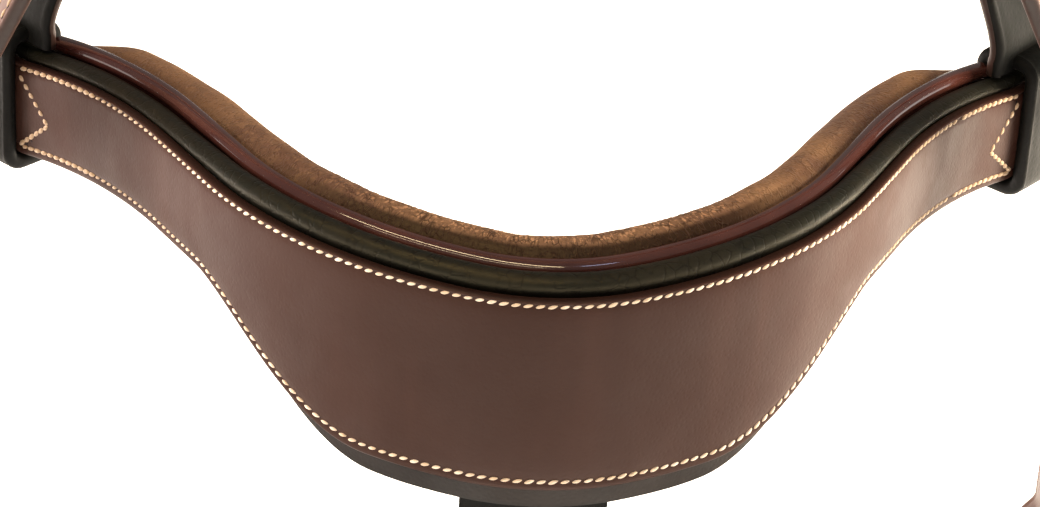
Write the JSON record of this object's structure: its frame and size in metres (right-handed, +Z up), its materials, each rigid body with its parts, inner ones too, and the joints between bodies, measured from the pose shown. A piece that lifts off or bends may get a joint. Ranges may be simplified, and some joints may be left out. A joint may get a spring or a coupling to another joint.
{
  "type": "flash noseband bridle",
  "caption": "Leather bridle with a padded shaped noseband, a flash strap, a browband, a throatlash and buckled cheekpieces, hung in its worn shape.",
  "frame": {"origin": "middle of the headpiece pad's underside, where the poll carries the bridle", "axes": "+Z up, -Y to the horse's nose, +X to the horse's left"},
  "size_m": [0.229, 0.2246, 0.4852],
  "materials": {
    "brown_leather": "smooth, semi-matt",
    "black_leather": "matt",
    "patent_leather": "high gloss patent",
    "padded_lining": "soft, matt, padded",
    "foam": "matt foam",
    "nickel": "polished nickel"
  },
  "bodies": {
    "bridle": {"headpiece": "brown_leather", "headpiece_pad": "padded_lining", "noseband_crown_strap": "black_leather"},
    "browband": {"browband": "brown_leather", "browband_pad": "padded_lining", "browband_loop_left": "brown_leather", "browband_loop_right": "brown_leather"},
    "cheekpiece_left": {"cheek_left_billet": "brown_leather", "cheek_left_strap": "brown_leather", "cheek_left_buckle_frame": "nickel", "cheek_left_keeper": "brown_leather", "cheek_left_hook_stud": "nickel"},
    "cheek_left_tongue": {"cheek_left_buckle_tongue": "nickel"},
    "cheek_left_sliding_runner": {"cheek_left_runner": "brown_leather"},
    "cheekpiece_right": {"cheek_right_billet": "brown_leather", "cheek_right_strap": "brown_leather", "cheek_right_buckle_frame": "nickel", "cheek_right_keeper": "brown_leather", "cheek_right_hook_stud": "nickel"},
    "cheek_right_tongue": {"cheek_right_buckle_tongue": "nickel"},
    "cheek_right_sliding_runner": {"cheek_right_runner": "brown_leather"},
    "throatlash": {"throatlash_strap": "brown_leather", "throatlash_billet": "brown_leather", "throatlash_buckle_frame": "nickel", "throatlash_keeper": "brown_leather"},
    "throatlash_tongue": {"throatlash_buckle_tongue": "nickel"},
    "throatlash_sliding_runner": {"throatlash_runner": "brown_leather"},
    "noseband": {"hanger_billet": "black_leather", "hanger_strap_left": "black_leather", "hanger_strap_right": "black_leather", "hanger_buckle_frame": "nickel", "hanger_keeper": "black_leather", "nosepiece_panel": "brown_leather", "nosepiece_base_welt": "black_leather", "nosepiece_foam_core": "foam", "nosepiece_piping": "patent_leather", "nosepiece_lining": "padded_lining", "nosepiece_loop_left": "black_leather", "nosepiece_loop_right": "black_leather", "chin_strap_left": "black_leather", "chin_strap_right": "black_leather", "chin_buckle_frame": "nickel", "chin_keeper": "black_leather"},
    "hanger_tongue": {"hanger_buckle_tongue": "nickel"},
    "hanger_sliding_runner": {"hanger_runner": "black_leather"},
    "chin_tongue": {"chin_buckle_tongue": "nickel"},
    "chin_sliding_runner": {"chin_runner": "black_leather"},
    "chin_guard": {"chin_pad": "padded_lining"},
    "flash": {"flash_loop": "black_leather", "flash_strap": "black_leather", "flash_buckle_frame": "nickel", "flash_keeper": "black_leather"},
    "flash_tongue": {"flash_buckle_tongue": "nickel"},
    "flash_sliding_runner": {"flash_runner": "black_leather"}
  },
  "joints": [
    {"name": "browband_slide", "type": "slide", "parent": "bridle", "child": "browband", "axis": [0, 0, 1], "range_m": [-0.004, 0.003]},
    {"name": "cheekpiece_left_swing", "type": "hinge", "parent": "bridle", "child": "cheekpiece_left", "pos_m": [0.0786, -0.018, -0.084], "axis": [0, -1, 0], "range_deg": [0, 40]},
    {"name": "cheek_left_tongue_lift", "type": "hinge", "parent": "cheekpiece_left", "child": "cheek_left_tongue", "pos_m": [0.0804, -0.018, -0.14], "axis": [0, 1, 0], "range_deg": [0, 8]},
    {"name": "cheek_left_runner_slide", "type": "slide", "parent": "cheekpiece_left", "child": "cheek_left_sliding_runner", "axis": [0, 0, 1], "range_m": [-0.006, 0.008]},
    {"name": "cheekpiece_right_swing", "type": "hinge", "parent": "bridle", "child": "cheekpiece_right", "pos_m": [-0.0786, -0.018, -0.084], "axis": [0, 1, 0], "range_deg": [0, 40]},
    {"name": "cheek_right_tongue_lift", "type": "hinge", "parent": "cheekpiece_right", "child": "cheek_right_tongue", "pos_m": [-0.0804, -0.018, -0.14], "axis": [0, -1, 0], "range_deg": [0, 8]},
    {"name": "cheek_right_runner_slide", "type": "slide", "parent": "cheekpiece_right", "child": "cheek_right_sliding_runner", "axis": [0, 0, 1], "range_m": [-0.006, 0.008]},
    {"name": "throatlash_swing", "type": "hinge", "parent": "bridle", "child": "throatlash", "pos_m": [0, 0.016, -0.084], "axis": [1, 0, 0], "range_deg": [-20, 6]},
    {"name": "throatlash_tongue_lift", "type": "hinge", "parent": "throatlash", "child": "throatlash_tongue", "pos_m": [0.0804, 0.0376, -0.12462], "axis": [0, 0.8829, 0.4695], "range_deg": [0, 8]},
    {"name": "throatlash_runner_slide", "type": "slide", "parent": "throatlash", "child": "throatlash_sliding_runner", "axis": [0, -0.4695, 0.8829], "range_m": [-0.006, 0.008]},
    {"name": "noseband_swing", "type": "hinge", "parent": "bridle", "child": "noseband", "pos_m": [0, 0.004, -0.084], "axis": [1, 0, 0], "range_deg": [0, 10]},
    {"name": "hanger_tongue_lift", "type": "hinge", "parent": "noseband", "child": "hanger_tongue", "pos_m": [0.0771, 0.004, -0.2], "axis": [0, 1, 0], "range_deg": [0, 8]},
    {"name": "hanger_runner_slide", "type": "slide", "parent": "noseband", "child": "hanger_sliding_runner", "axis": [0, 0, 1], "range_m": [-0.006, 0.008]},
    {"name": "chin_tongue_lift", "type": "hinge", "parent": "noseband", "child": "chin_tongue", "pos_m": [0.01, 0.0953, -0.34825], "axis": [0, 0, -1], "range_deg": [0, 8]},
    {"name": "chin_runner_slide", "type": "slide", "parent": "noseband", "child": "chin_sliding_runner", "axis": [-1, 0, 0], "range_m": [-0.006, 0.008]},
    {"name": "chin_pad_slide", "type": "slide", "parent": "noseband", "child": "chin_guard", "axis": [1, 0, 0], "range_m": [-0.006, 0.006]},
    {"name": "flash_swing", "type": "hinge", "parent": "noseband", "child": "flash", "pos_m": [0, -0.0897, -0.3685], "axis": [1, 0, 0], "range_deg": [-12, 12]},
    {"name": "flash_tongue_lift", "type": "hinge", "parent": "flash", "child": "flash_tongue", "pos_m": [0.0633, -0.06093, -0.41294], "axis": [0, 0.5736, 0.8192], "range_deg": [0, 8]},
    {"name": "flash_runner_slide", "type": "slide", "parent": "flash", "child": "flash_sliding_runner", "axis": [0, -0.8192, 0.5736], "range_m": [-0.006, 0.008]}
  ]
}
